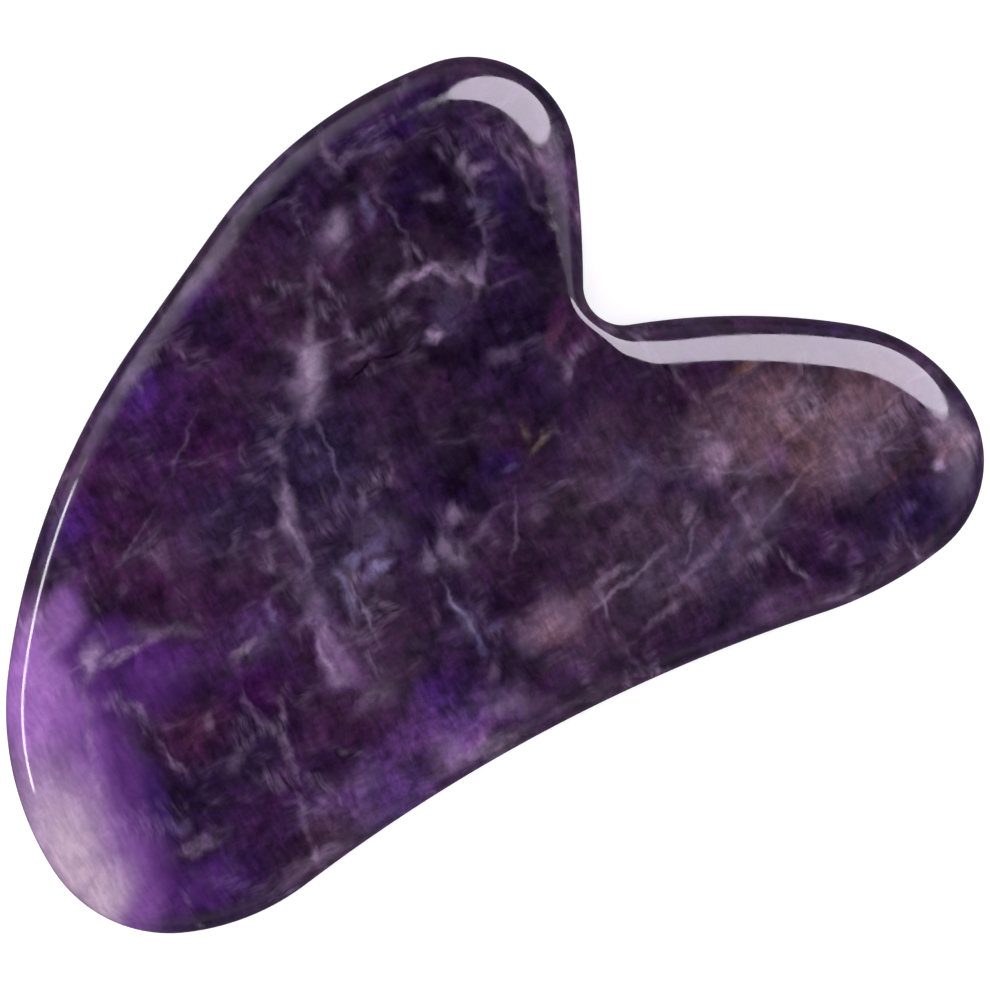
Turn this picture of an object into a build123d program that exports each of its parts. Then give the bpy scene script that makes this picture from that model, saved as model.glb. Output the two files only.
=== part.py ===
from build123d import *
import math
import os

os.makedirs("parts", exist_ok=True)

# A hand-held scraping board cut from one piece of quartz: a flat heart-shaped plate whose rim is
# fully rounded. Millimetres. +X runs along the long under edge to the nose, +Y towards the crown,
# and +Z out of the upper face. The origin is the middle of the outline, on the lower face.

# Overall size
length = 83.0
width = 55.0
thickness = 7.0
rim_flat = 0.2  # upright band left between the rounding of the upper edge and of the lower one

# Nose, the longer lobe
nose_low_radius = 9.0
nose_low_rise = 1.0  # foot of the nose's lower circle, above the bottom line
nose_high_radius = 13.0
nose_under_radius = 31.0
nose_under_rise = 0.55  # the nose's lowest point, above the bottom line
nose_flank_radius = 57.0  # long upper edge of the nose, down from the notch

# Crown, the rounder lobe
crown_radius = 37.0
crown_from_nose = 30.6  # highest point, back from the foremost point
lobe_radius = 8.6
lobe_from_nose = 18.5  # the lobe's front, back from the foremost point
lobe_flank_radius = 100.0  # front edge of the lobe, up from the notch

# Notch between the two lobes, which runs along a jaw line
notch_radius = 3.2
notch_depth = 12.7  # below the line across the mouth, which touches both lobes
notch_place = 0.63  # share of the free way between the two lobes, from nose to lobe

# Back and heel
back_flat_turn = 9.0  # degrees the flat is opened out from the line touching crown and heel
back_radius = 60.0  # from the flat down to the heel
heel_back_radius = 24.0
heel_back_rise = 13.0  # rearmost point, above the bottom line
heel_radius = 11.2
heel_under_radius = 19.7
heel_under_from_back = 14.3  # lowest point, forward from the rearmost point

# Long under edge, which is slightly hollow
belly_radius = 142.0

front = length / 2
rear = -length / 2
top = width / 2
bottom = -width / 2
edge_radius = (thickness - rim_flat) / 2


def polar(distance, degrees):
    return Vector(distance, 0).rotate(Axis.Z, degrees)


def heading(start, end):
    """Direction from start to end, in degrees anticlockwise from +X."""
    return math.degrees(math.atan2(end.Y - start.Y, end.X - start.X))


def meet(first, first_distance, second, second_distance):
    """The point at the two distances from first and second, on the left of the way between them."""
    gap = (second - first).length
    cosine = (gap**2 + first_distance**2 - second_distance**2) / (2 * gap * first_distance)
    return first + polar(first_distance, heading(first, second) + math.degrees(math.acos(cosine)))


def outer_tangent(first, first_radius, second, second_radius):
    """Heading of the line that has both circles on its left and touches first, then second."""
    gap = (second - first).length
    lean = math.degrees(math.asin((second_radius - first_radius) / gap))
    return heading(first, second) - lean


def touch(first, first_radius, second, second_radius):
    """Where two circles touch, with the smaller one inside the larger one."""
    if first_radius > second_radius:
        return first + (second - first).normalized() * first_radius
    return second + (first - second).normalized() * second_radius


def side_touch(first, first_radius, second):
    """Where two circles touch that lie side by side."""
    return first + (second - first).normalized() * first_radius


# Circles that are placed from the ends of the board
nose_tip = Vector(front, bottom + nose_low_rise + nose_low_radius)
nose_low = nose_tip - Vector(nose_low_radius, 0)
nose_high = nose_tip - Vector(nose_high_radius, 0)
crown = Vector(front - crown_from_nose, top - crown_radius)
lobe_x = front - lobe_from_nose - lobe_radius
lobe_drop = math.sqrt((crown_radius - lobe_radius) ** 2 - (lobe_x - crown.X) ** 2)
lobe = Vector(lobe_x, crown.Y + lobe_drop)
heel_back = Vector(rear + heel_back_radius, bottom + heel_back_rise)
heel_under = Vector(rear + heel_under_from_back, bottom + heel_under_radius)
nose_under_y = bottom + nose_under_rise + nose_under_radius
nose_under_back = math.sqrt(
    (nose_under_radius - nose_low_radius) ** 2 - (nose_under_y - nose_low.Y) ** 2
)
nose_under = Vector(nose_low.X - nose_under_back, nose_under_y)

# The notch hangs from the line across its mouth, which runs from the nose up to the lobe. It can
# sit anywhere along that line where its circle stays clear of both lobes.
mouth_heading = outer_tangent(nose_high, nose_high_radius, lobe, lobe_radius)
mouth_at_nose = nose_high + polar(nose_high_radius, mouth_heading - 90)
mouth_at_lobe = lobe + polar(lobe_radius, mouth_heading - 90)
notch_sink = notch_depth - notch_radius
nose_clear = math.sqrt(
    (nose_high_radius + notch_radius) ** 2 - (nose_high_radius - notch_sink) ** 2
)
lobe_clear = math.sqrt((lobe_radius + notch_radius) ** 2 - (lobe_radius - notch_sink) ** 2)
free_way = (mouth_at_lobe - mouth_at_nose).length - nose_clear - lobe_clear
notch_along = nose_clear + free_way * notch_place
notch = (
    mouth_at_nose
    + polar(notch_along, mouth_heading)
    + polar(notch_sink, mouth_heading + 90)
)

# Arcs that join those circles without a corner
nose_flank = meet(
    nose_high, nose_flank_radius - nose_high_radius, notch, nose_flank_radius + notch_radius
)
lobe_flank = meet(
    notch, lobe_flank_radius + notch_radius, lobe, lobe_flank_radius - lobe_radius
)
heel = meet(heel_back, heel_back_radius - heel_radius, heel_under, heel_under_radius - heel_radius)
belly = meet(
    nose_under, belly_radius + nose_under_radius, heel_under, belly_radius + heel_under_radius
)

# The flat on the back starts on the crown, and a long arc takes it round into the heel
flat_heading = outer_tangent(crown, crown_radius, heel_back, heel_back_radius) - back_flat_turn
flat_start = crown + polar(crown_radius, flat_heading - 90)
inwards = polar(1, flat_heading + 90)
back_offset = back_radius - (heel_back - flat_start).dot(inwards)
back_along = math.sqrt((back_radius - heel_back_radius) ** 2 - back_offset**2)
back = heel_back + inwards * back_offset - polar(back_along, flat_heading)
flat_end = back - inwards * back_radius


def outline():
    """The board's edge as one closed chain of tangent arcs, anticlockwise from the nose's tip."""
    nose_top = touch(nose_high, nose_high_radius, nose_flank, nose_flank_radius)
    notch_front = side_touch(notch, notch_radius, nose_flank)
    notch_back = side_touch(notch, notch_radius, lobe_flank)
    lobe_front = touch(lobe_flank, lobe_flank_radius, lobe, lobe_radius)
    crown_front = touch(lobe, lobe_radius, crown, crown_radius)
    heel_top = touch(back, back_radius, heel_back, heel_back_radius)
    heel_rear = touch(heel_back, heel_back_radius, heel, heel_radius)
    heel_low = touch(heel, heel_radius, heel_under, heel_under_radius)
    belly_rear = side_touch(heel_under, heel_under_radius, belly)
    belly_front = side_touch(nose_under, nose_under_radius, belly)
    nose_base = touch(nose_under, nose_under_radius, nose_low, nose_low_radius)
    return [
        RadiusArc(nose_tip, nose_top, -nose_high_radius),
        RadiusArc(nose_top, notch_front, -nose_flank_radius),
        RadiusArc(notch_front, notch_back, notch_radius),
        RadiusArc(notch_back, lobe_front, -lobe_flank_radius),
        RadiusArc(lobe_front, crown_front, -lobe_radius),
        RadiusArc(crown_front, flat_start, -crown_radius),
        Line(flat_start, flat_end),
        RadiusArc(flat_end, heel_top, -back_radius),
        RadiusArc(heel_top, heel_rear, -heel_back_radius),
        RadiusArc(heel_rear, heel_low, -heel_radius),
        RadiusArc(heel_low, belly_rear, -heel_under_radius),
        RadiusArc(belly_rear, belly_front, belly_radius),
        RadiusArc(belly_front, nose_base, -nose_under_radius),
        RadiusArc(nose_base, nose_tip, -nose_low_radius),
    ]


def scraper_stone():
    """The plate with both of its face edges rounded, down to the narrow band on the rim."""
    plate = extrude(make_face(Wire(outline())), amount=thickness, dir=(0, 0, 1))
    faces = plate.faces().sort_by(Axis.Z)
    return fillet(faces[0].edges() + faces[-1].edges(), edge_radius)


export_step(scraper_stone(), "parts/scraper_stone.step")
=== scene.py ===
import math

import bpy
import numpy as np
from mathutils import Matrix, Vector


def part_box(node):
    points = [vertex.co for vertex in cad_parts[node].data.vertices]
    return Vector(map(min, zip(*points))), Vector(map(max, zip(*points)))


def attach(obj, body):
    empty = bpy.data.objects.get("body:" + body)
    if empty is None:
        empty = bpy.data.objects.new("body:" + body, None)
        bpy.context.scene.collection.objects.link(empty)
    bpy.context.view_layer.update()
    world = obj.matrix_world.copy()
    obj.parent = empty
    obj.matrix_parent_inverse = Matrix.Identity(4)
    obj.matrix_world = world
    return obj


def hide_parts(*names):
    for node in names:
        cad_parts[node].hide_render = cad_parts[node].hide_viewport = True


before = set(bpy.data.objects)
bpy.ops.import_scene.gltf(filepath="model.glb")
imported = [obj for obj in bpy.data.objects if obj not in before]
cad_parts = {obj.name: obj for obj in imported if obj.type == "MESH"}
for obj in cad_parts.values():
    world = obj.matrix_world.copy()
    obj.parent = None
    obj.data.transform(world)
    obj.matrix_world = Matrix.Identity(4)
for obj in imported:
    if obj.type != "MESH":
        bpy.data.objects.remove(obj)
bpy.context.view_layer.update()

mm = 0.001  # shapes and patterns below are in millimetres, Blender works in metres


def linearColour(hexText):
    # sRGB hex to the linear values that a colour socket takes
    shares = [int(hexText[place:place + 2], 16) / 255 for place in (1, 3, 5)]
    flat = [s / 12.92 if s <= 0.04045 else ((s + 0.055) / 1.055) ** 2.4 for s in shares]
    return (*flat, 1.0)


def addNode(tree, kind, inputs=None, **settings):
    # One node with its settings. An input is either a plain value or the socket that feeds it.
    node = tree.nodes.new(kind)
    for name, value in settings.items():
        setattr(node, name, value)
    for name, value in (inputs or {}).items():
        if isinstance(value, bpy.types.NodeSocket):
            tree.links.new(value, node.inputs[name])
        else:
            node.inputs[name].default_value = value
    return node


boardLow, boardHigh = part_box("scraper_stone")

# Lengths are in millimetres. "rise" is above the bottom line, "fromNose" back from the foremost
# point and "fromBack" forward from the rearmost one.
boardShape = {
    "rimFlat": 0.2,  # upright band between the two roundings
    "rimReach": 4.4,  # how far in from the outline the soft rounding starts
    "notchReach": 1.3,  # the same in the bottom of the notch, where the wheel can't get in as far
    "notchBlendLobe": 8.0,  # how far from there, up the lobe's side, the reach grows back
    "notchBlendNose": 2.8,  # the same along the nose's side
    "noseLowRadius": 9.0,
    "noseLowRise": 1.0,
    "noseHighRadius": 13.0,
    "noseUnderRadius": 31.0,
    "noseUnderRise": 0.55,
    "noseFlankRadius": 57.0,
    "crownRadius": 37.0,
    "crownFromNose": 30.6,
    "lobeRadius": 8.6,
    "lobeFromNose": 18.5,
    "lobeFlankRadius": 100.0,
    "notchRadius": 3.2,
    "notchDepth": 12.7,
    "notchPlace": 0.63,  # share of the free way between the lobes, from nose to lobe
    "backFlatTurn": 9.0,  # degrees the flat is opened out from the line that touches crown and heel
    "backRadius": 60.0,
    "heelBackRadius": 24.0,
    "heelBackRise": 13.0,
    "heelRadius": 11.2,
    "heelUnderRadius": 19.7,
    "heelUnderFromBack": 14.3,
    "bellyRadius": 142.0,
    "faceCentre": 3.0 - 4.5j,  # every point of the face can be reached from here in a straight line
    "around": 640,  # points round the edge
    "faceRings": 36,  # rings on a face, from its middle to where the rounding starts
    "rimRings": 16,  # rings over each rounding
}


def pointAtDistances(first, firstDistance, second, secondDistance):
    # The point at both distances, on the left of the way from first to second
    way = second - first
    gap = abs(way)
    cosine = (gap**2 + firstDistance**2 - secondDistance**2) / (2 * gap * firstDistance)
    return first + firstDistance * way / gap * np.exp(1j * np.arccos(cosine))


def outerTangent(first, firstRadius, second, secondRadius):
    # Unit direction of the line that touches both circles and keeps them on its left
    way = second - first
    return way / abs(way) * np.exp(-1j * np.arcsin((secondRadius - firstRadius) / abs(way)))


def boardOutline(shape, count):
    # The edge as a closed chain of arcs that share a tangent where they meet, plus one straight
    # stretch on the back. Complex numbers stand for points in the plane. Where arcs with centres
    # A, B and signed radii a, b meet, the outward normal is (A - B) / (b - a); a hollow arc has a
    # minus radius. A point is centre + radius * normal, and the normal turns evenly along an arc.
    # The third result is how far in the rounding reaches at each point.
    s = shape
    front, rear = boardHigh.x / mm, boardLow.x / mm
    top, bottom = boardHigh.y / mm, boardLow.y / mm
    noseTip = front + 1j * (bottom + s["noseLowRise"] + s["noseLowRadius"])
    noseLow = noseTip - s["noseLowRadius"]
    noseHigh = noseTip - s["noseHighRadius"]
    crown = front - s["crownFromNose"] + 1j * (top - s["crownRadius"])
    lobeX = front - s["lobeFromNose"] - s["lobeRadius"]
    lobeDrop = math.sqrt((s["crownRadius"] - s["lobeRadius"]) ** 2 - (lobeX - crown.real) ** 2)
    lobe = lobeX + 1j * (crown.imag + lobeDrop)
    heelBack = rear + s["heelBackRadius"] + 1j * (bottom + s["heelBackRise"])
    heelUnder = rear + s["heelUnderFromBack"] + 1j * (bottom + s["heelUnderRadius"])
    underY = bottom + s["noseUnderRise"] + s["noseUnderRadius"]
    underReach = (s["noseUnderRadius"] - s["noseLowRadius"]) ** 2 - (underY - noseLow.imag) ** 2
    noseUnder = noseLow.real - math.sqrt(underReach) + 1j * underY

    # the notch hangs from the line across its mouth
    mouth = outerTangent(noseHigh, s["noseHighRadius"], lobe, s["lobeRadius"])
    mouthAtNose = noseHigh - 1j * mouth * s["noseHighRadius"]
    mouthAtLobe = lobe - 1j * mouth * s["lobeRadius"]
    sink = s["notchDepth"] - s["notchRadius"]
    clearNose, clearLobe = (
        math.sqrt((radius + s["notchRadius"]) ** 2 - (radius - sink) ** 2)
        for radius in (s["noseHighRadius"], s["lobeRadius"])
    )
    freeWay = abs(mouthAtLobe - mouthAtNose) - clearNose - clearLobe
    notch = mouthAtNose + mouth * (clearNose + freeWay * s["notchPlace"]) + 1j * mouth * sink

    noseFlank = pointAtDistances(
        noseHigh, s["noseFlankRadius"] - s["noseHighRadius"],
        notch, s["noseFlankRadius"] + s["notchRadius"],
    )
    lobeFlank = pointAtDistances(
        notch, s["lobeFlankRadius"] + s["notchRadius"],
        lobe, s["lobeFlankRadius"] - s["lobeRadius"],
    )
    heel = pointAtDistances(
        heelBack, s["heelBackRadius"] - s["heelRadius"],
        heelUnder, s["heelUnderRadius"] - s["heelRadius"],
    )
    belly = pointAtDistances(
        noseUnder, s["bellyRadius"] + s["noseUnderRadius"],
        heelUnder, s["bellyRadius"] + s["heelUnderRadius"],
    )

    # the straight stretch leaves the crown, and the back's long arc takes over from it
    flat = outerTangent(crown, s["crownRadius"], heelBack, s["heelBackRadius"])
    flat = flat * np.exp(-1j * math.radians(s["backFlatTurn"]))
    flatOut = -1j * flat
    flatStart = crown + flatOut * s["crownRadius"]
    backSink = s["backRadius"] + ((heelBack - flatStart) * flatOut.conjugate()).real
    backAlong = math.sqrt((s["backRadius"] - s["heelBackRadius"]) ** 2 - backSink**2)
    back = heelBack - flatOut * backSink - flat * backAlong
    flatEnd = back + flatOut * s["backRadius"]

    arcs = [
        (noseHigh, s["noseHighRadius"]),
        (noseFlank, s["noseFlankRadius"]),
        (notch, -s["notchRadius"]),
        (lobeFlank, s["lobeFlankRadius"]),
        (lobe, s["lobeRadius"]),
        (crown, s["crownRadius"]),
        (back, s["backRadius"]),
        (heelBack, s["heelBackRadius"]),
        (heel, s["heelRadius"]),
        (heelUnder, s["heelUnderRadius"]),
        (belly, -s["bellyRadius"]),
        (noseUnder, s["noseUnderRadius"]),
        (noseLow, s["noseLowRadius"]),
    ]
    centre = np.array([arc[0] for arc in arcs])
    radius = np.array([arc[1] for arc in arcs])
    notchArc, crownArc = 2, 5
    endNormal = (centre - np.roll(centre, -1)) / (np.roll(radius, -1) - radius)
    endNormal[crownArc] = flatOut
    endNormal[-1] = 1.0  # the tip faces straight along +X
    startNormal = np.roll(endNormal, 1)
    sweep = np.angle(endNormal / startNormal)
    # the straight stretch goes in as a row of its own that doesn't turn
    place = crownArc + 1
    centre = np.insert(centre, place, crown)
    radius = np.insert(radius, place, s["crownRadius"])
    startNormal = np.insert(startNormal, place, flatOut)
    sweep = np.insert(sweep, place, 0.0)
    slide = np.zeros(len(centre), complex)
    slide[place] = flatEnd - flatStart

    length = np.abs(radius * sweep) + np.abs(slide)
    ends = np.cumsum(length)
    along = np.arange(count) / count * ends[-1]
    row = np.searchsorted(ends, along, side="right")
    share = (along - (ends - length)[row]) / length[row]
    normal = startNormal[row] * np.exp(1j * sweep[row] * share)
    edge = centre[row] + radius[row] * normal + slide[row] * share

    # The throat is the middle of the notch's arc. A bell curve of the distance from it blends the
    # two reaches, and it is wider on the lobe's side, which lies higher than the throat.
    inwards = endNormal[notchArc - 1] + endNormal[notchArc]
    throat = notch - s["notchRadius"] * inwards / abs(inwards)
    lobeSide = np.clip((edge - throat).imag / s["notchRadius"] + 0.5, 0, 1)
    blend = s["notchBlendNose"] + (s["notchBlendLobe"] - s["notchBlendNose"]) * lobeSide
    closeness = np.exp(-(np.abs(edge - throat) / blend) ** 2)
    return edge, normal, s["rimReach"] + (s["notchReach"] - s["rimReach"]) * closeness


def boardSurface(shape):
    # Rings round the board, from a pole in the middle of the upper face, out over the rim and back
    # to a pole in the lower face. On a face a ring is the face's own edge shrunk towards the pole.
    # Over the rim it is the outline moved in by reach * (1 - sin t), at the height of an ellipse,
    # half * cos t above or below the upright band, with t from 0 at the face to 90 degrees.
    edge, normal, reach = boardOutline(shape, shape["around"])
    thickness = (boardHigh.z - boardLow.z) / mm
    half = (thickness - shape["rimFlat"]) / 2
    shrink = np.linspace(0, 1, shape["faceRings"] + 1)[1:]
    tilt = np.linspace(0, np.pi / 2, shape["rimRings"] + 1)[1:]
    spread = np.concatenate([shrink, np.ones(len(tilt))])
    inset = reach * np.concatenate([np.ones(len(shrink)), 1 - np.sin(tilt)])[:, None]
    height = thickness - half * np.concatenate([np.zeros(len(shrink)), 1 - np.cos(tilt)])

    spread, inset = np.concatenate([spread, spread[::-1]]), np.concatenate([inset, inset[::-1]])
    height = np.concatenate([height, thickness - height[::-1]])
    pole = shape["faceCentre"]
    ring = pole + (edge - inset * normal - pole) * spread[:, None]
    level = np.broadcast_to(height[:, None], ring.shape)
    grid = np.stack([ring.real, ring.imag, level], axis=-1).reshape(-1, 3)
    poles = np.array([[pole.real, pole.imag, thickness], [pole.real, pole.imag, 0.0]])
    points = np.concatenate([grid, poles]) * mm + [0, 0, boardLow.z]

    rings, around = ring.shape
    first = np.arange(around)
    after = (first + 1) % around
    step = np.arange(rings - 1)[:, None] * around
    quads = np.stack([first + step, first + step + around, after + step + around, after + step], -1)
    last = (rings - 1) * around
    upper = np.stack([np.full(around, rings * around), first, after], -1)
    lower = np.stack([np.full(around, rings * around + 1), after + last, first + last], -1)
    faces = quads.reshape(-1, 4).tolist() + upper.tolist() + lower.tolist()
    mesh = bpy.data.meshes.new("scraperStone")
    mesh.from_pydata(points.tolist(), [], faces)
    mesh.validate()
    mesh.shade_smooth()
    return mesh


stone = bpy.data.objects.new("scraperStone", boardSurface(boardShape))
bpy.context.scene.collection.objects.link(stone)
print("scraperStone:", len(stone.data.vertices), "points,", len(stone.data.polygons), "faces")


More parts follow.
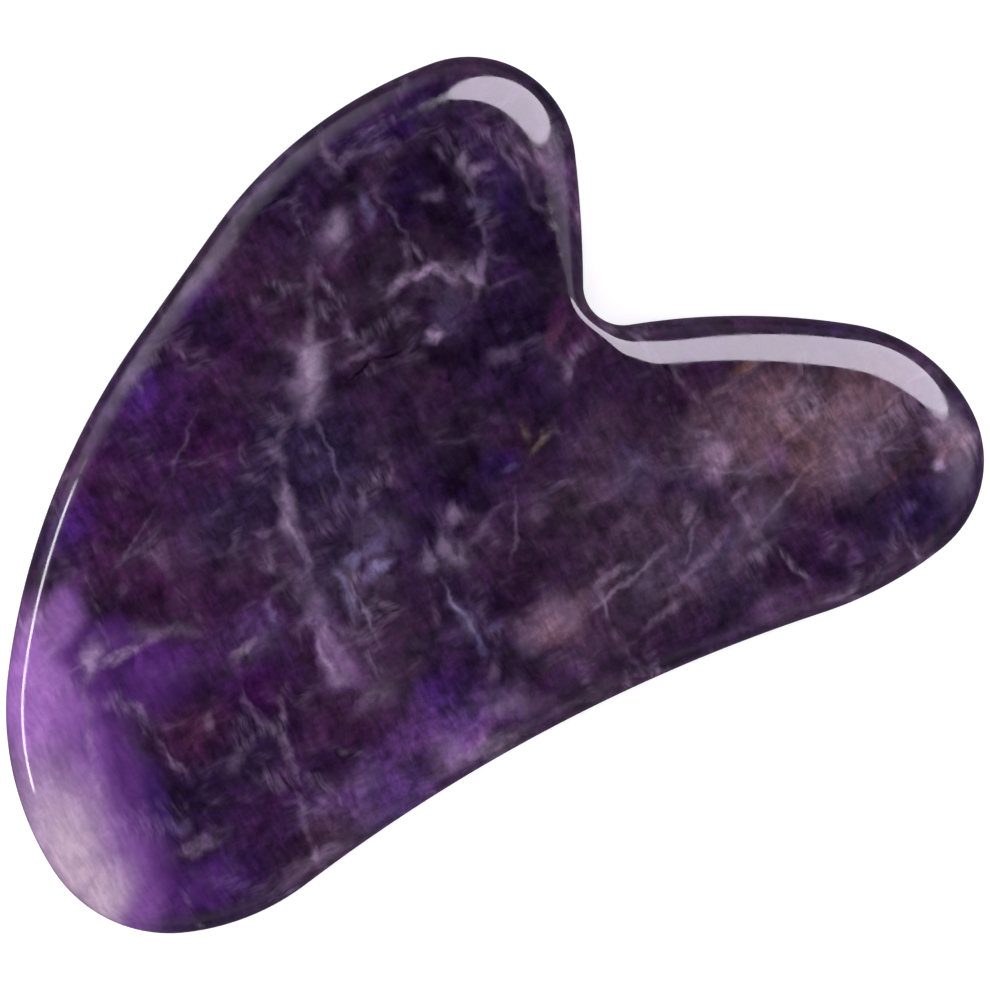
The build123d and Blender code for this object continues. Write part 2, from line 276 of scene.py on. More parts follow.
# Sizes are in millimetres. A bend pushes patterns about: the size of its lumps, its detail and its
# reach. A texture is the size of its lumps, its detail and roughness, and the noise values that
# become 0 and 1. Shades are factors on the colour below, where a texture is 0 and where it is 1.
#
# A patch is x, y, half length, half width, turn in degrees and strength: a soft spindle. Round ones
# are clouds in the crystal, thin ones are veils, which are healed cracks; two patches are painted
# light, marked where they stand. Each group has its colour, its core, which is the share of the way
# out from a patch's middle that has the full strength, and its patches.
amethyst = {
    "ior": 1.544,  # quartz
    "ground": "#2a1833",
    "milk": "#8f7a98",
    "patchMiddle": 3.5,  # height of the patches' middles, halfway up the board
    "patchDepth": 60.0,  # far deeper than the board, so that a patch runs straight through it
    "cloudBend": (6.5, 4.0, 4.6),
    "veilBend": (2.4, 3.0, 2.0),
    "threadBend": (1.8, 3.0, 1.5),
    "fibreBend": (4.0, 2.0, 1.6),
    "bandBend": (6.0, 2.0, 2.4),
    "mottling": (3.6, 4.0, 0.6, 0.28, 0.72),
    "mottlingShades": ((0.5, 0.44, 0.54), (1.52, 1.34, 1.5)),
    "warmth": (9.0, 2.0, 0.5, 0.34, 0.66),
    "warmthShades": ((0.9, 0.95, 1.08), (1.15, 1.05, 0.91)),
    "fibres": (0.5, 3.0, 0.6, 0.3, 0.7),
    "fibresAlong": (1, 0.2, 0.3),  # scale in x, y and z: a fibre is long where this is small
    "fibresAcross": (0.25, 1, 0.3),
    "fine": (1.2, 4.0, 0.65, 0.28, 0.72),
    "fineContrast": 0.22,
    "alongContrast": 0.15,
    "acrossContrast": 0.12,
    "bandShades": ((0.88, 0.86, 0.9), (1.12, 1.1, 1.1)),
    "smoke": (3.0, 5.0, 0.62, 0.3, 0.8),
    "smokyZones": (8.0, 4.0, 0.55, 0.36, 0.66),
    "smokeShare": 0.1,  # how strong the smoke is outside the haze
    # nets of healed cracks: size of a mesh, width of a crack, scale in x, y and z, the texture that
    # says where they show, and strength
    "nets": [
        (6.5, 0.5, (1, 0.45, 0.5), (4.5, 3.0, 0.6, 0.46, 0.74), 0.6),
        (3.4, 0.5, (0.7, 1, 0.5), (6.0, 3.0, 0.6, 0.48, 0.74), 0.36),
    ],
    "veilStretch": 1.7,  # how much longer and wider than listed the veils' soft edges reach
    "veilSpread": 1.8,
    "veilFray": (0.35, 1.15),  # strength of a veil where the fine mottling is 0 and where it is 1
    "dullSpots": (1.4, 4.0, 0.6, 0.3, 0.7),
    "roughness": (0.05, 0.15),  # where the dull spots are 0 and where they are 1
    "wave": (6.0, 3.0, 0.45),  # waviness left by the wheel: size of the lumps, detail, roughness
    "waveDepth": 0.06,
    "waveStrength": 0.4,
    "haze": [
        (-4.6, 9.5, 5.5, 2.8, 65, 0.62), (-7, -6, 5, 3.6, 30, 0.5), (-1.5, -9, 3.6, 3, 60, 0.5),
        (9, 11, 5, 1.8, 0, 0.3), (-12.6, -10, 8, 2.2, 84, 0.45), (-13, -16, 4, 3, 0, 0.36),
        (-8, -23, 7, 2.4, 0, 0.5), (3.4, -17, 5, 2.6, 10, 0.5), (14, -18, 8, 2.4, 14, 0.32),
        (21, -11, 8, 5, -20, 0.34), (30, -14, 8, 6, -25, 0.3), (37.5, -19, 6, 3, 80, 0.42),
        (2, 18, 3, 3, 0, 0.35), (-9, 20, 7, 1.6, 22, 0.5), (-27, -3.6, 5, 1.2, 0, 0.35),
        (-19, -8, 5, 2.4, 0, 0.4), (-2.4, -15, 1.6, 4, 0, 0.4), (-11.4, -1, 1.2, 5, 0, 0.35),
        (-17.5, 15.4, 5, 1.7, 28, 0.5), (-1, 24.2, 5, 1.8, 15, 0.55), (-17, -22, 6, 3, 0, 0.3),
        (-3, -22, 5, 3, 0, 0.5), (16, -10, 5, 4, 0, 0.28), (21, -18, 7, 3, 10, 0.3),
    ],
    "cloudsAndPaintedReflection": [
        ("#36193f", 0.2, [  # plum, over the rear half
            (-20, 8, 16, 9, 35, 0.9), (-22, -6, 9, 7, 0, 0.8), (-10, 16, 10, 5, 30, 0.5),
            (-20, -20, 12, 6, 10, 0.6),
        ]),
        ("#352b42", 0.1, [  # slate, behind the middle
            (-7, 2, 6, 9, 20, 0.8), (-9, -6, 9, 5, 60, 0.6), (-16, 2, 6, 4, 0, 0.6),
        ]),
        ("#170a20", 0.2, [  # nearly black, from the middle up into the lobe
            (4, 11, 9, 6, 60, 0.85), (3, -2, 6, 3.4, 55, 0.95), (11, 17, 9, 5.5, 80, 0.85),
            (12, 5, 4.5, 4, 0, 0.7), (11, -1, 3, 2.4, 0, 0.5), (15.6, 12, 9, 3, 94, 0.85),
        ]),
        ("#251040", 0.2, [  # indigo, mostly in the lobe
            (11, 24.5, 7, 3, 0, 0.9), (8.5, 18, 4, 3, 60, 0.5), (5.4, -4, 2.4, 1.8, 0, 0.9),
            (16, 15, 2, 6, 0, 0.5),
        ]),
        ("#55444b", 0.25, [  # brownish, in the nose
            (29, -13, 13, 8, -25, 0.9), (22, -10, 6, 5, 0, 0.6),
        ]),
        ("#3c2f40", 0.2, [  # dull mauve, between the middle and the nose
            (14, -17, 11, 7, -10, 0.9), (14, -8, 6, 5, 0, 0.5), (4, -19, 6, 4, 0, 0.4),
        ]),
        ("#352c4c", 0.2, [  # bluish grey
            (14.8, -9.3, 3.6, 2.6, 60, 0.7), (17, -18, 4, 2, 10, 0.4),
        ]),
        ("#43205f", 0.1, [  # clear violet spots
            (-27, 7, 4, 2.6, 40, 0.8), (-17.5, 13.5, 3.5, 2, 60, 0.8), (-26.7, -6.2, 5, 3, 0, 0.95),
            (-30, -23.5, 6, 3, 0, 0.8), (-7.2, -18.5, 3.4, 2.8, 0, 0.7),
            (-9.5, 18.5, 3, 1.6, 30, 0.6), (-29.9, 1.4, 1.6, 1.2, 40, 0.9), (3, -22, 4, 2, 0, 0.35),
        ]),
        ("#360f3f", 0.2, [  # wine red
            (-20, -11.5, 5, 3, -20, 0.9), (-29.2, 2.6, 1.6, 1, 30, 0.8), (-24, 0, 3, 2, 20, 0.7),
            (-22, 11, 4, 2.4, 40, 0.6), (15.6, 5.2, 2.4, 1, 80, 0.8), (15.3, 0.6, 1.2, 0.9, 0, 0.9),
            (-14, 7, 5, 3, 20, 0.5),
        ]),
        ("#3b1c34", 0.2, [  # dull wine
            (-26, -12, 4.6, 3.6, -20, 0.9), (-12, -22, 3, 2, 0, 0.6), (-18, -17, 4, 2, 0, 0.4),
        ]),
        ("#5f4266", 0.1, [  # painted reflection, mauve, along the lobe's front edge
            (20.8, 12, 10, 2.6, 96, 0.95),
        ]),
        ("#5c3c74", 0.1, [  # light violet, mostly along the under edge
            (-7.5, -21.6, 8.5, 4.2, 0, 0.85), (-13, -12, 3, 6, 0, 0.55), (-14, -23, 8, 4, 0, 0.55),
            (-19, -7, 5, 2.4, 0, 0.35),
        ]),
        ("#6c5560", 0.0, [  # rosy grey
            (3.4, -17, 4.4, 2.6, 10, 0.8), (-18, -24, 5, 2, 8, 0.25),
        ]),
        ("#5c3850", 0.1, [  # rose, beside the notch
            (14.6, 2.6, 2, 1, 50, 0.3),
        ]),
        ("#2b242a", 0.1, [  # smoky, in front of the middle
            (9.5, -9.6, 2.8, 3.2, 0, 0.75), (11, -16.6, 4, 2, 20, 0.6), (17, -14.6, 3, 2, -20, 0.5),
        ]),
        ("#7b6676", 0.2, [  # pale rose, in the nose and at its tip
            (38.6, -18.4, 4.4, 2.4, 80, 0.7), (20.8, -11.9, 3.4, 2, 60, 0.35),
            (31.2, -16, 4, 2.2, 30, 0.35),
        ]),
        ("#5a4068", 0.2, [  # greyish violet
            (25.7, -14.2, 1.6, 3, 0, 0.7), (20, -24, 5, 1.6, 0, 0.3),
        ]),
        ("#281a42", 0.25, [  # dark blue violet, low in the nose
            (33.2, -23.2, 5, 2.4, 15, 0.9),
        ]),
        ("#38203c", 0.2, [  # dark plum, at the nose's edges
            (27.5, -22.4, 3.4, 2.4, 0, 0.8), (21.3, -4.8, 3.6, 1.4, -25, 0.8),
        ]),
        ("#3f2a33", 0.3, [  # brown, in the nose
            (33.6, -19.3, 3.2, 0.9, 10, 0.8), (36.3, -18.2, 1, 0.7, 60, 0.8),
        ]),
        ("#5c4435", 0.2, [  # a tan spot
            (26.3, -6.3, 1.6, 0.9, -20, 0.7),
        ]),
        ("#231a2b", 0.3, [  # smoky spots
            (-6.8, -14.2, 2.8, 1.6, 0, 0.8), (9, -19.5, 3, 2, 0, 0.5),
        ]),
    ],
    "bandsAndPaintedEdgeLight": [
        ("#552a70", 0.35, [  # the broad violet band
            (-33.4, -14, 14, 4.0, 84, 0.97), (-37.5, -12, 14, 5, 80, 1.0),
            (-29.6, -2.6, 4, 2.6, 10, 0.75), (-31.8, -4.6, 6, 3.2, 74, 0.95),
        ]),
        ("#7c4f96", 0.15, [  # lighter violet inside it
            (-34.4, -9, 8, 2.6, 78, 0.95), (-35.2, -18, 9, 2.4, 84, 0.9),
            (-36.4, -22.8, 4, 3, 50, 0.9),
        ]),
        ("#9f6cb8", 0.35, [  # lilac, at its upper end
            (-35.8, -3, 9, 4.4, 62, 0.97), (-31.2, 0.6, 3.6, 2.4, 60, 0.6),
        ]),
        ("#a98bb2", 0.25, [  # pale lilac, out at the heel
            (-39, -14.2, 9.5, 5.6, 84, 0.97), (-37.6, -20.4, 4.5, 3, 60, 0.9),
        ]),
        ("#bfa8ba", 0.1, [  # the palest, at the heel's edge: pale stone plus painted light through the thin edge
            (-39.2, -16.3, 7.5, 4, 84, 0.95), (-38.4, -20.6, 4, 2.6, 60, 0.85),
        ]),
        ("#301556", 0.15, [  # a dark line beside the band
            (-31, -16, 5, 1.4, 84, 0.85),
        ]),
        ("#4e256a", 0.1, [  # violet fringes
            (-30.6, -23.8, 4.5, 2.8, 10, 0.6), (-27.4, -7, 5.6, 4, -5, 0.75),
        ]),
    ],
    "veils": [
        ("#977f9f", 0.1, [  # milky
            (4.6, 23.8, 1.9, 0.45, 90, 0.6), (6, 23.1, 2.4, 0.4, 5, 0.5),
            (2.6, 18.6, 1.8, 0.9, 60, 0.75), (2.2, 16.8, 1.2, 0.4, 30, 0.5),
            (5, 12.3, 1.5, 0.5, 25, 0.8), (6.9, 12.4, 1.8, 0.45, -15, 0.95),
            (8.5, 11.3, 1.3, 0.5, -50, 0.8), (9.6, 11.2, 1.1, 0.45, 10, 0.7),
            (10.5, 10.4, 1.2, 0.5, -60, 0.95), (11.6, 10.8, 1.4, 0.4, 55, 0.6),
            (14.8, 17.6, 1.3, 0.5, -10, 0.7), (14, 18.7, 0.9, 0.5, 30, 0.6),
            (12.7, 20.2, 1.2, 0.4, 90, 0.45), (10.5, 17.4, 1.1, 0.6, -20, 0.55),
            (12.8, 12.8, 2, 0.4, 75, 0.5), (5.6, 7.5, 1, 0.6, -10, 0.95),
            (10.2, 9.1, 1.4, 0.4, 45, 0.55), (12.4, 8.7, 1.5, 0.3, -8, 0.4),
            (-0.4, 8.6, 2, 0.45, 0, 0.6), (-1.5, 15.5, 2.4, 0.4, 60, 0.45),
            (9.8, 3.4, 1.8, 0.7, 0, 0.5), (13.7, 0.1, 1, 0.5, 60, 0.6),
            (-9.7, 4.6, 1.2, 0.5, 90, 0.55), (-10.7, 1.2, 2, 0.55, 78, 0.75),
            (-12, -0.7, 0.9, 0.5, 80, 0.75), (-13.4, -0.3, 1.3, 0.35, -20, 0.6),
            (-11.3, -2.8, 2, 0.3, 85, 0.65), (-5.6, -1.4, 1.4, 0.4, 75, 0.5),
            (-2.4, 0.9, 0.7, 0.4, 0, 0.4), (0.1, -6.3, 1.2, 0.6, 60, 0.5),
            (-1.2, -8, 1.6, 0.8, 80, 0.7), (-2.9, -8.5, 1, 0.8, 60, 0.7),
            (-0.5, -9.2, 1.3, 0.5, 80, 0.5), (1.4, -8.4, 2, 0.45, 25, 0.45),
            (6.4, -9, 1, 0.7, 0, 0.4), (9.4, -16.1, 1.9, 0.4, 10, 0.65),
            (13.7, -18.9, 2, 0.5, 5, 0.5), (16.3, -18.4, 2, 0.5, 15, 0.6),
            (18.4, -17.5, 1.5, 0.45, 30, 0.5), (12, -20.7, 2.6, 0.5, 15, 0.55),
            (20.6, -19.8, 2, 0.6, 10, 0.5), (17.3, -14.3, 1.3, 0.5, 50, 0.65),
            (13, -12.8, 2.2, 0.8, 20, 0.35), (21, -9.3, 0.8, 0.5, -30, 0.7),
            (21.8, -11.8, 0.8, 0.6, 0, 0.6), (21.3, -14.9, 1.3, 0.35, 20, 0.5),
            (36.6, -20.1, 0.6, 0.5, 0, 0.95), (37, -17.8, 1.1, 0.5, 80, 0.5),
            (-29.4, -20.3, 2.2, 0.7, 0, 0.6), (-23.8, -15.5, 1.3, 0.8, 20, 0.5),
            (-17, -0.4, 3, 0.35, -8, 0.3), (-25.9, 0.5, 0.7, 0.5, 0, 0.4),
        ]),
        ("#8279a8", 0.1, [  # bluish
            (5.4, 18.7, 1.6, 0.55, 80, 0.6), (13.4, 15.2, 1.3, 0.7, -50, 0.5),
            (7.6, 8.4, 2.2, 1.5, 70, 0.4), (-8.4, -5.6, 1, 0.6, 0, 0.75),
            (-6.4, -5.4, 1.8, 0.8, 10, 0.5), (-6.6, -7.1, 1.5, 0.7, 10, 0.85),
            (-10, -6.8, 1.4, 0.4, 85, 0.7), (-10.1, -8.3, 1.2, 0.5, 85, 0.8),
            (-2.6, -13.6, 2.4, 0.6, 95, 0.6), (-2.3, -15.8, 1.8, 0.4, 80, 0.6),
            (-0.6, -15.4, 0.8, 0.5, 0, 0.5), (5.9, -4.6, 0.9, 0.4, 0, 0.5),
            (-30, -18.4, 1, 0.7, 0, 0.4), (-16.1, -6.6, 1.3, 0.4, 80, 0.6),
        ]),
        ("#a890ac", 0.1, [  # the palest
            (-4.3, 9.3, 2.6, 1.1, 65, 0.8), (-3.4, 11.6, 2, 0.6, 65, 0.6),
            (-5.8, 7.1, 1.8, 0.8, 50, 0.6), (-8.6, 6.2, 1.8, 0.5, 30, 0.4),
            (-30.6, -3.3, 1.9, 0.9, 60, 0.8), (-28.4, -4, 2.7, 0.45, 0, 0.7),
            (-25.2, -3.9, 2.4, 0.5, -3, 0.5), (-22.9, -4.6, 2, 0.6, -20, 0.35),
            (-32.4, -6, 2.2, 0.5, 65, 0.4), (-33.6, -9, 2.4, 0.45, 70, 0.5),
            (-34.8, -12.3, 2.4, 0.5, 68, 0.5), (-35.8, -17, 3.4, 0.45, 82, 0.4),
            (-14, -8, 1.2, 0.6, 20, 0.45), (-13.1, -9.4, 1.6, 0.55, 80, 0.6),
            (-14, -12.3, 2, 0.5, 85, 0.5), (-13.6, -13.7, 1.4, 0.5, -50, 0.4),
            (-12, -16.3, 2.4, 0.8, 10, 0.4), (-2.2, -18.6, 1.2, 0.5, 60, 0.4),
            (-19.3, -8, 1.2, 0.45, 10, 0.8), (-20, -16.5, 2.2, 0.35, 80, 0.4),
            (-24.4, -12.1, 1, 0.45, 60, 0.45), (-6.5, -23.8, 4.5, 0.8, 0, 0.5),
            (-22.5, -25.6, 3, 0.7, 3, 0.4), (-9, 20.3, 3, 0.5, 22, 0.35),
        ]),
        ("#84748f", 0.0, [  # long thin threads
            (-11.6, -1.5, 3.6, 0.26, 86, 0.8), (-13.8, -11, 3.6, 0.28, 87, 0.75),
            (-2.6, -13, 3.2, 0.26, 96, 0.75), (10.5, -17, 5, 0.26, 14, 0.75),
            (21, -12.5, 4.4, 0.24, -30, 0.6), (25, -16.5, 4, 0.24, 22, 0.6),
            (-6.2, 3, 3.6, 0.24, 84, 0.6), (-19.8, -17, 3.6, 0.24, 82, 0.6),
            (29.5, -12, 4, 0.24, 12, 0.55), (-16.5, 8.5, 3.6, 0.24, 40, 0.5),
            (-9.4, -9.5, 3, 0.24, 88, 0.7), (4.4, -9, 3.4, 0.24, 60, 0.55),
            (16.4, -16.5, 3, 0.24, 48, 0.6), (7, 17.5, 3, 0.24, 96, 0.55),
            (-23.5, 3.5, 3.4, 0.24, 30, 0.5), (33.5, -16.5, 3.4, 0.24, -38, 0.55),
        ]),
        ("#8a7a5f", 0.1, [  # straw
            (9.3, -4, 1.5, 0.4, 30, 0.6), (8.5, -2.6, 1, 0.4, 80, 0.5), (24, -7, 1.4, 0.4, 0, 0.4),
        ]),
    ],
    "cracks": [
        ("#0c0612", 0.2, [  # open cracks
            (-0.8, 7.5, 2, 0.36, 8, 0.9), (1.7, 7.65, 1.6, 0.34, -4, 0.9),
            (30.8, -19.7, 1.4, 0.3, 10, 0.5), (38.2, -15.6, 1.3, 0.3, -50, 0.7),
            (9.5, -3.4, 0.9, 0.3, 20, 0.5),
        ]),
    ],
}


def amethystMaterial(recipe):
    # Amethyst, violet quartz, sawn, ground and polished with fine oxide: a hard gloss with crisp
    # reflections over colour that lies in clouds and bands, with milky veils where cracks healed, and
    # with painted light in two places: a painted reflection on the lobe and painted light at the heel.
    material = bpy.data.materials.new("polished banded amethyst")
    material.use_nodes = True
    tree = material.node_tree
    tree.nodes.clear()
    place = addNode(tree, "ShaderNodeTexCoord").outputs["Object"]
    spot = addNode(tree, "ShaderNodeMapping", {0: place, "Scale": (1 / mm,) * 3}).outputs[0]

    def bent(bend):
        # the spot in mm, pushed about by a noise, by up to about half of its reach. It ends in a
        # Mapping node, because a gradient takes that without a conversion.
        size, detail, reach = bend
        lumps = addNode(tree, "ShaderNodeTexNoise", {
            "Vector": spot, "Scale": 1 / size, "Detail": detail})
        push = addNode(tree, "ShaderNodeVectorMath", {
            0: lumps.outputs["Color"], 1: (0.5, 0.5, 0.5)}, operation="SUBTRACT")
        moved = addNode(tree, "ShaderNodeVectorMath", {
            0: push.outputs[0], 1: (reach * mm,) * 3, 2: place}, operation="MULTIPLY_ADD")
        return addNode(tree, "ShaderNodeMapping", {
            0: moved.outputs[0], "Scale": (1 / mm,) * 3}).outputs[0]

    def noise(texture, where=spot, stretch=(1, 1, 1)):
        # lumps that go softly from 0 at the texture's low value to 1 at its high one
        size, detail, roughness, low, high = texture
        shaped = addNode(tree, "ShaderNodeMapping", {"Vector": where, "Scale": stretch})
        lumps = addNode(tree, "ShaderNodeTexNoise", {
            "Vector": shaped.outputs[0], "Scale": 1 / size, "Detail": detail, "Roughness": roughness})
        return addNode(tree, "ShaderNodeMapRange", {
            "Value": lumps.outputs["Fac"], "From Min": low, "From Max": high},
            interpolation_type="SMOOTHSTEP", clamp=False).outputs[0]

    def cover(patches, core, where, stretch=1.0, spread=1.0):
        # the strongest of the patches at a point, each 0 at its spindle's edge
        strongest = 0.0
        for x, y, halfLength, halfWidth, turn, strength in patches:
            size = (halfLength * stretch, halfWidth * spread, recipe["patchDepth"])
            local = addNode(tree, "ShaderNodeMapping", {
                "Vector": where, "Location": (x, y, recipe["patchMiddle"]),
                "Rotation": (0, 0, math.radians(turn)), "Scale": size}, vector_type="TEXTURE")
            depth = addNode(tree, "ShaderNodeTexGradient", {
                0: local.outputs[0]}, gradient_type="SPHERICAL")
            mask = addNode(tree, "ShaderNodeMapRange", {
                "Value": depth.outputs["Fac"], "From Min": 0.0, "From Max": 1 - core,
                "To Min": 0.0, "To Max": strength}, interpolation_type="SMOOTHSTEP", clamp=False)
            strongest = addNode(tree, "ShaderNodeMath", {
                0: mask.outputs[0], 1: strongest}, operation="MAXIMUM").outputs[0]
        return strongest

    def net(size, width, where, stretch):
        # cracks that cut the stone into lumps of size mm: 1 on a crack, 0 from width mm beside it
        shaped = addNode(tree, "ShaderNodeMapping", {"Vector": where, "Scale": stretch})
        lumps = addNode(tree, "ShaderNodeTexVoronoi", {
            "Vector": shaped.outputs[0], "Scale": 1 / size}, feature="DISTANCE_TO_EDGE")
        return addNode(tree, "ShaderNodeMapRange", {
            "Value": lumps.outputs["Distance"], "From Min": 0.0, "From Max": width / size,
            "To Min": 1.0, "To Max": 0.0}, interpolation_type="SMOOTHSTEP").outputs[0]

    def layer(under, shade, blend, *shares):
        # Lays a shade over the colour so far, as strongly as its shares multiplied together. The
        # colours of a Mix node are its sockets 6 and 7, and its plain numbers are 2 and 3.
        share = shares[0]
        for other in shares[1:]:
            share = addNode(tree, "ShaderNodeMath", {
                0: share, 1: other}, operation="MULTIPLY").outputs[0]
        return addNode(tree, "ShaderNodeMix", {
            0: share, 6: under, 7: shade}, data_type="RGBA", blend_type=blend).outputs[2]

    def shaded(under, pattern, darker, lighter):
        # multiplies the colour so far by darker where the pattern is 0 and by lighter where it is 1
        factor = addNode(tree, "ShaderNodeMix", {
            0: pattern, 6: (*darker, 1), 7: (*lighter, 1)}, data_type="RGBA")
        return addNode(tree, "ShaderNodeMix", {
            0: 1.0, 6: under, 7: factor.outputs[2]}, data_type="RGBA", blend_type="MULTIPLY").outputs[2]

    cloudSpot = bent(recipe["cloudBend"])
    veilSpot = bent(recipe["veilBend"])
    threadSpot = bent(recipe["threadBend"])
    fibreSpot = bent(recipe["fibreBend"])

    colour = linearColour(recipe["ground"])
    # clouds in the crystal, and a painted reflection along the lobe's front edge
    for shade, core, patches in recipe["cloudsAndPaintedReflection"]:
        colour = layer(colour, linearColour(shade), "MIX", cover(patches, core, cloudSpot))

    # mottling, darker and lighter than the cloud it lies in
    broad = noise(recipe["mottling"], cloudSpot)
    colour = shaded(colour, broad, *recipe["mottlingShades"])

    # warmer and cooler zones, which come from traces of iron
    warmth = noise(recipe["warmth"], cloudSpot)
    colour = shaded(colour, warmth, *recipe["warmthShades"])

    # fibres, most of them along the growth and some across it, and fine mottling
    along = noise(recipe["fibres"], fibreSpot, recipe["fibresAlong"])
    across = noise(recipe["fibres"], fibreSpot, recipe["fibresAcross"])
    fine = noise(recipe["fine"], veilSpot)
    for pattern, name in ((fine, "fineContrast"), (along, "alongContrast"), (across, "acrossContrast")):
        contrast = recipe[name]
        colour = shaded(colour, pattern, (1 - contrast,) * 3, (1 + contrast,) * 3)

    # growth bands at the heel lie along its edge, smoother than the clouds; the palest also holds
    # painted light at the very edge
    bandSpot = bent(recipe["bandBend"])
    for shade, core, patches in recipe["bandsAndPaintedEdgeLight"]:
        colour = layer(colour, linearColour(shade), "MIX", cover(patches, core, bandSpot))
    for pattern in (fine, along):
        colour = shaded(colour, pattern, *recipe["bandShades"])

    # haze: soft milky zones with smoke in them, and a little of that smoke elsewhere
    milk = linearColour(recipe["milk"])
    smoke = noise(recipe["smoke"], veilSpot)
    zones = noise(recipe["smokyZones"], cloudSpot)
    colour = layer(colour, milk, "SCREEN", cover(recipe["haze"], core=0.0, where=cloudSpot), smoke)
    colour = layer(colour, milk, "SCREEN", smoke, zones, recipe["smokeShare"])

    # healed cracks, which run through the whole stone and come and go
    for (size, width, stretch, shown, strength), fibres in zip(recipe["nets"], (along, across)):
        lines = net(size, width, veilSpot, stretch)
        colour = layer(colour, milk, "SCREEN", lines, noise(shown), fibres, strength)

    # the veils that stand out, frayed by the fine mottling
    faint, full = recipe["veilFray"]
    frayed = addNode(tree, "ShaderNodeMix", {0: fine, 2: faint, 3: full}).outputs[0]
    for shade, core, patches in recipe["veils"]:
        veil = cover(patches, core, threadSpot, recipe["veilStretch"], recipe["veilSpread"])
        colour = layer(colour, linearColour(shade), "SCREEN", veil, veil, frayed)
    for shade, core, patches in recipe["cracks"]:
        colour = layer(colour, linearColour(shade), "MIX", cover(patches, core, veilSpot))

    # the polish: a mirror with a trace of waviness and slightly duller spots
    smoothest, dullest = recipe["roughness"]
    roughness = addNode(tree, "ShaderNodeMapRange", {
        "Value": noise(recipe["dullSpots"]), "To Min": smoothest, "To Max": dullest})
    size, detail, grain = recipe["wave"]
    wave = addNode(tree, "ShaderNodeTexNoise", {
        "Vector": spot, "Scale": 1 / size, "Detail": detail, "Roughness": grain})
    bump = addNode(tree, "ShaderNodeBump", {
        "Height": wave.outputs["Fac"], "Strength": recipe["waveStrength"],
        "Distance": recipe["waveDepth"] * mm})

    shader = addNode(tree, "ShaderNodeBsdfPrincipled", {
        "Base Color": colour, "Roughness": roughness.outputs[0], "IOR": recipe["ior"],
        "Normal": bump.outputs[0]})
    addNode(tree, "ShaderNodeOutputMaterial", {"Surface": shader.outputs[0]})
    return material


stone.data.materials.append(amethystMaterial(amethyst))
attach(stone, "root")
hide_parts("scraper_stone")
print("polished amethyst: done")


whiteCard = {
    "size": 6.0,  # metres
    "drop": 0.02,  # mm below the board, so that the two surfaces don't share a plane
    "colour": "#f6f6f6",
    "roughness": 0.9,
    "specular": 0.1,
    "glow": 0.45,  # light of its own, which keeps it nearly white beside the board
}


def studioFloor(settings):
    # a square of matt card, centred under the board
    half = settings["size"] / 2
    level = boardLow.z - settings["drop"] * mm
    mesh = bpy.data.meshes.new("floor")
    mesh.from_pydata(
        [(-half, -half, level), (half, -half, level), (half, half, level), (-half, half, level)],
        [], [(0, 1, 2, 3)])
    floor = bpy.data.objects.new("floor", mesh)
    bpy.context.scene.collection.objects.link(floor)
    material = bpy.data.materials.new("matt white card")
    material.use_nodes = True
    shader = material.node_tree.nodes["Principled BSDF"]
    shader.inputs["Base Color"].default_value = linearColour(settings["colour"])
    shader.inputs["Roughness"].default_value = settings["roughness"]
    shader.inputs["Specular IOR Level"].default_value = settings["specular"]
    shader.inputs["Emission Color"].default_value = (1, 1, 1, 1)
    shader.inputs["Emission Strength"].default_value = settings["glow"]
    mesh.materials.append(material)
    floor.visible_glossy = False  # the polish mirrors the shaded card of the world instead


# Upright panels that only the polish sees. Size is width and height, rise is the height of the
# middle, and both are in metres, as the distance is. Lean, to the left, and azimuth are in degrees.
panels = {
    "tallSoftbox": {
        "shape": "ELLIPSE", "size": (0.80, 1.62), "lean": 12.0, "azimuth": 38.5, "distance": 0.5,
        "rise": 0.86, "radiance": 11.5, "colour": "#eee4f5"},
    "lowStrip": {
        "shape": "RECTANGLE", "size": (0.36, 0.055), "lean": 0.0, "azimuth": 154.0, "distance": 0.5,
        "rise": 0.17, "radiance": 16.0, "colour": "#f4f0fa"},
}


def studioPanel(name, row):
    # an area light that faces the board; its power is what shows the wanted radiance at its size
    width, height = row["size"]
    lamp = bpy.data.lights.new(name, "AREA")
    lamp.shape = row["shape"]
    lamp.size, lamp.size_y = width, height
    area = width * height * (math.pi / 4 if row["shape"] == "ELLIPSE" else 1)
    lamp.energy = row["radiance"] * math.pi * area
    lamp.color = linearColour(row["colour"])[:3]
    light = bpy.data.objects.new(name, lamp)
    bpy.context.scene.collection.objects.link(light)
    turn = math.radians(row["azimuth"])
    light.location = (row["distance"] * math.cos(turn), row["distance"] * math.sin(turn), row["rise"])
    light.rotation_euler = (math.pi / 2, math.radians(row["lean"]), turn + math.pi / 2)
    light.visible_camera = False
    light.visible_diffuse = False


view = {
    "roll": 27.0,  # degrees
    "fill": 0.987,  # share of the frame's width that the outline takes
    "focalLength": 120.0,  # mm
    "clipStart": 0.01,  # metres
}


def studioCamera(settings):
    # Looks straight down, rolled about its own line of sight, and aims at the middle of the outline
    # as the rolled frame sees it.
    roll = settings["roll"]
    edge = boardOutline(boardShape, boardShape["around"])[0]
    seen = edge * np.exp(1j * math.radians(roll))
    low = seen.real.min() + 1j * seen.imag.min()
    high = seen.real.max() + 1j * seen.imag.max()
    aim = (low + high) / 2 * np.exp(-1j * math.radians(roll))
    lens = bpy.data.cameras.new("camera")
    lens.lens = settings["focalLength"]
    lens.clip_start = settings["clipStart"]
    field = (high - low).real / settings["fill"] * mm
    camera = bpy.data.objects.new("camera", lens)
    bpy.context.scene.collection.objects.link(camera)
    middle = (boardLow.z + boardHigh.z) / 2
    distance = field * lens.lens / lens.sensor_width
    camera.location = (aim.real * mm, aim.imag * mm, middle + distance)
    camera.rotation_euler = (0, 0, -math.radians(roll))
    bpy.context.scene.camera = camera


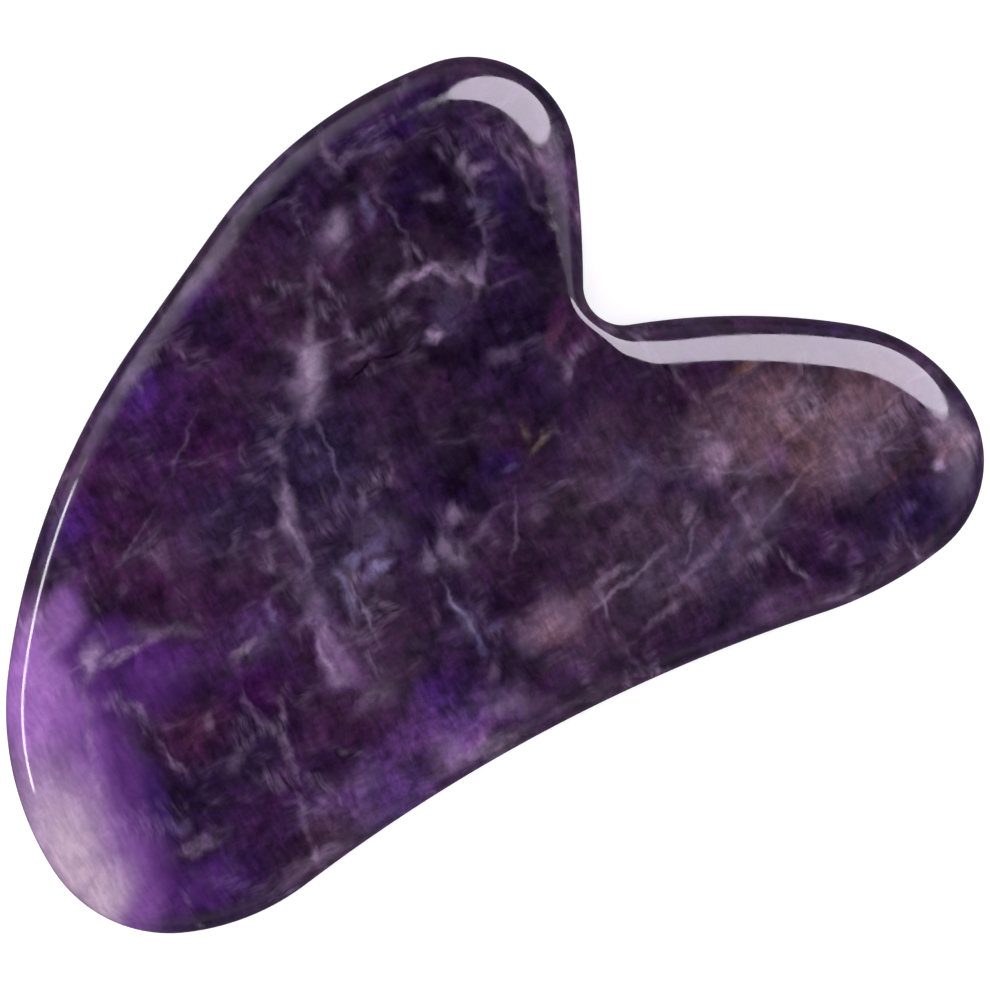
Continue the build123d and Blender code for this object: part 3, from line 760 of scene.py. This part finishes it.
lightTent = {
    "wallColour": "#f8f8fa",
    "wallLevel": 1.1,
    "mirroredColour": "#e6dcf2",
    "horizonLevel": 0.35,
    "darkAbove": 0.6,  # height, as a share of straight up, above which what is mirrored is dark
    "cardLevel": 0.3,  # share of the light left on the shaded card below the horizon
    "cardBelow": -0.3,  # height, as a share of straight up, below which the card is that dark
    # bright zones that the polish mirrors: azimuth, rise and reach in degrees, and radiance
    "glows": [(-20.0, 28.0, 36.0, 1.5), (112.0, 12.0, 34.0, 1.2)],
}


def studioWorld(settings):
    # A light tent: its even walls light colours from all round. What the polish mirrors is dark
    # overhead, where the lens looks in, paler towards the horizon, darker again below it, where the
    # board shades the card, and brighter towards each glow.
    world = bpy.data.worlds.new("studio")
    world.use_nodes = True
    tree = world.node_tree
    way = addNode(tree, "ShaderNodeTexCoord").outputs["Generated"]
    height = addNode(tree, "ShaderNodeSeparateXYZ", {0: way}).outputs["Z"]
    level = addNode(tree, "ShaderNodeMapRange", {
        "Value": height, "From Min": 0.0, "From Max": settings["darkAbove"],
        "To Min": settings["horizonLevel"], "To Max": 0.0}, interpolation_type="SMOOTHSTEP").outputs[0]
    for azimuth, rise, reach, radiance in settings["glows"]:
        turn, lift = math.radians(azimuth), math.radians(rise)
        towards = (math.cos(turn) * math.cos(lift), math.sin(turn) * math.cos(lift), math.sin(lift))
        near = addNode(tree, "ShaderNodeVectorMath", {0: way, 1: towards}, operation="DOT_PRODUCT")
        glow = addNode(tree, "ShaderNodeMapRange", {
            "Value": near.outputs["Value"], "From Min": math.cos(math.radians(reach)), "From Max": 1.0,
            "To Min": 0.0, "To Max": radiance}, interpolation_type="SMOOTHSTEP").outputs[0]
        level = addNode(tree, "ShaderNodeMath", {0: level, 1: glow}, operation="ADD").outputs[0]
    below = addNode(tree, "ShaderNodeMapRange", {
        "Value": height, "From Min": settings["cardBelow"], "From Max": 0.0,
        "To Min": settings["cardLevel"], "To Max": 1.0}, interpolation_type="SMOOTHSTEP").outputs[0]
    level = addNode(tree, "ShaderNodeMath", {0: level, 1: below}, operation="MULTIPLY").outputs[0]
    rays = addNode(tree, "ShaderNodeLightPath").outputs
    even = addNode(tree, "ShaderNodeMath", {0: rays["Is Diffuse Ray"], 1: rays["Is Camera Ray"]},
                   operation="MAXIMUM").outputs[0]
    level = addNode(tree, "ShaderNodeMix", {0: even, 2: level, 3: settings["wallLevel"]}).outputs[0]
    tint = addNode(tree, "ShaderNodeMix", {
        0: even, 6: linearColour(settings["mirroredColour"]),
        7: linearColour(settings["wallColour"])}, data_type="RGBA").outputs[2]
    background = tree.nodes["Background"]
    tree.links.new(tint, background.inputs["Color"])
    tree.links.new(level, background.inputs["Strength"])
    bpy.context.scene.world = world


studioFloor(whiteCard)
for name, row in panels.items():
    studioPanel(name, row)
studioCamera(view)
studioWorld(lightTent)
bpy.context.scene.view_settings.view_transform = "Standard"
print("studio: done")
